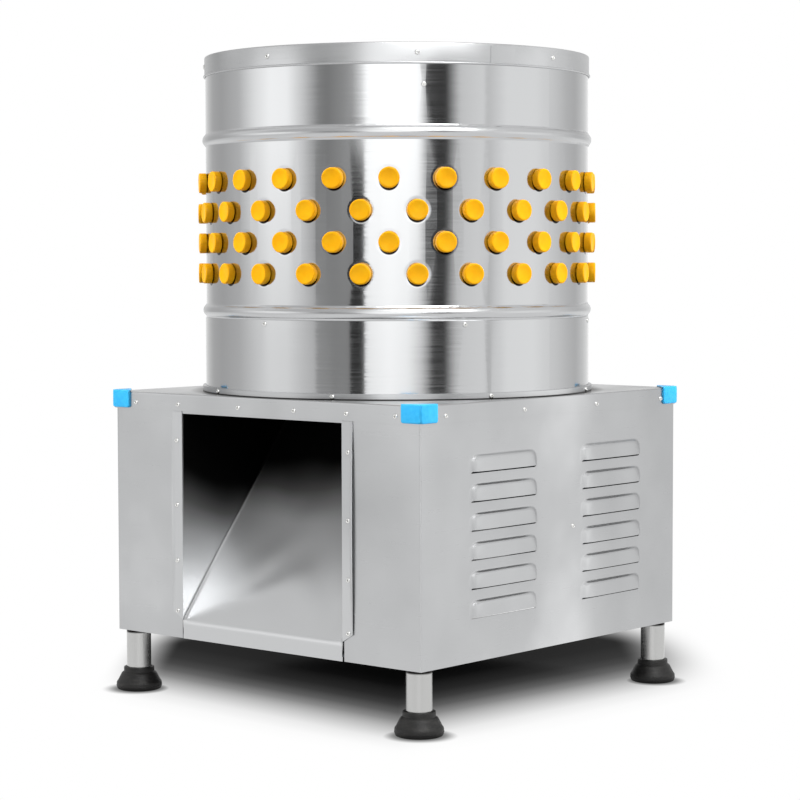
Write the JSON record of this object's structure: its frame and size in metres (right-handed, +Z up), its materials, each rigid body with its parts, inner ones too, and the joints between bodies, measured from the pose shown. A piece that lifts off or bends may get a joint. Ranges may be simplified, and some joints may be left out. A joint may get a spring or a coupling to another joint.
{
  "type": "poultry plucker",
  "caption": "Upright drum plucker: swaged steel tub lined with rubber fingers over a belt-driven finger plate, on a louvred cabinet with a sloping feather chute.",
  "frame": {"origin": "on the floor under the drum's axis, midway between the four feet", "axes": "+Z up along the drum's axis, -Y towards the feather chute, +X towards the louvred side next to the motor"},
  "size_m": [0.5462, 0.5462, 0.83],
  "materials": {
    "stainless_sheet": "brushed stainless sheet",
    "steel_hardware": "bright steel fasteners and shafts",
    "leg_steel": "satin steel tube",
    "frame_paint": "grey painted angle steel",
    "motor_paint": "blue grey motor enamel",
    "pulley_iron": "turned cast iron",
    "finger_rubber": "moulded natural rubber, yellow",
    "black_rubber": "moulded black rubber",
    "guard_plastic": "moulded blue plastic",
    "switch_plastic": "moulded black plastic",
    "start_plastic": "green button",
    "stop_plastic": "red button"
  },
  "bodies": {
    "machine": {"deck": "stainless_sheet", "right_panel": "stainless_sheet", "left_panel": "stainless_sheet", "rear_panel": "stainless_sheet", "chute_floor": "stainless_sheet", "chute_left_wall": "stainless_sheet", "chute_right_wall": "stainless_sheet", "chute_header": "stainless_sheet", "frame": "frame_paint", "spindle_rails": "frame_paint", "leg_front_left": "leg_steel", "leg_front_right": "leg_steel", "leg_rear_left": "leg_steel", "leg_rear_right": "leg_steel", "foot_front_left": "black_rubber", "foot_front_right": "black_rubber", "foot_rear_left": "black_rubber", "foot_rear_right": "black_rubber", "guard_front_left": "guard_plastic", "guard_front_right": "guard_plastic", "guard_rear_left": "guard_plastic", "guard_rear_right": "guard_plastic", "base_ring": "stainless_sheet", "drum_collar": "stainless_sheet", "drum_shell": "stainless_sheet", "rim_band": "stainless_sheet", "finger_row_1": "finger_rubber", "finger_row_2": "finger_rubber", "finger_row_3": "finger_rubber", "finger_row_4": "finger_rubber", "panel_rivets": "steel_hardware", "chute_rivets": "steel_hardware", "drum_rivets": "steel_hardware", "rear_screws": "steel_hardware", "spindle_housing": "frame_paint", "upper_bearing": "steel_hardware", "lower_bearing": "steel_hardware", "shaft_seal": "black_rubber", "drive_bolts": "steel_hardware", "motor_plate": "frame_paint", "motor_frame": "motor_paint", "motor_shield": "motor_paint", "fan_cowl": "motor_paint", "terminal_box": "motor_paint", "drive_belt": "black_rubber", "switch_unit": "switch_plastic", "cable_grommet": "black_rubber", "motor_lead": "black_rubber"},
    "turntable": {"feather_plate": "stainless_sheet", "plate_fingers": "finger_rubber", "sweepers": "stainless_sheet", "plate_hub": "frame_paint", "hub_fasteners": "steel_hardware", "main_shaft": "steel_hardware", "driven_pulley": "pulley_iron"},
    "rotor": {"motor_rotor": "steel_hardware", "motor_pulley": "pulley_iron"},
    "start": {"start_button": "start_plastic"},
    "stop": {"stop_button": "stop_plastic"}
  },
  "joints": [
    {"name": "plate_spin", "type": "hinge", "parent": "machine", "child": "turntable", "pos_m": [0, 0, 0.3], "axis": [0, 0, 1], "continuous": true},
    {"name": "motor_spin", "type": "hinge", "parent": "machine", "child": "rotor", "pos_m": [0.15, 0.1506, 0.2], "axis": [0, 0, 1], "continuous": true},
    {"name": "start_press", "type": "slide", "parent": "machine", "child": "start", "axis": [1, 0, 0], "range_m": [0, 0.0025], "stiffness_N_per_m": 400, "springref_m": -0.002},
    {"name": "stop_press", "type": "slide", "parent": "machine", "child": "stop", "axis": [1, 0, 0], "range_m": [0, 0.0025], "stiffness_N_per_m": 400, "springref_m": -0.002}
  ],
  "couplings": [
    {"joint": "motor_spin", "follows": "plate_spin", "ratio": 5}
  ]
}
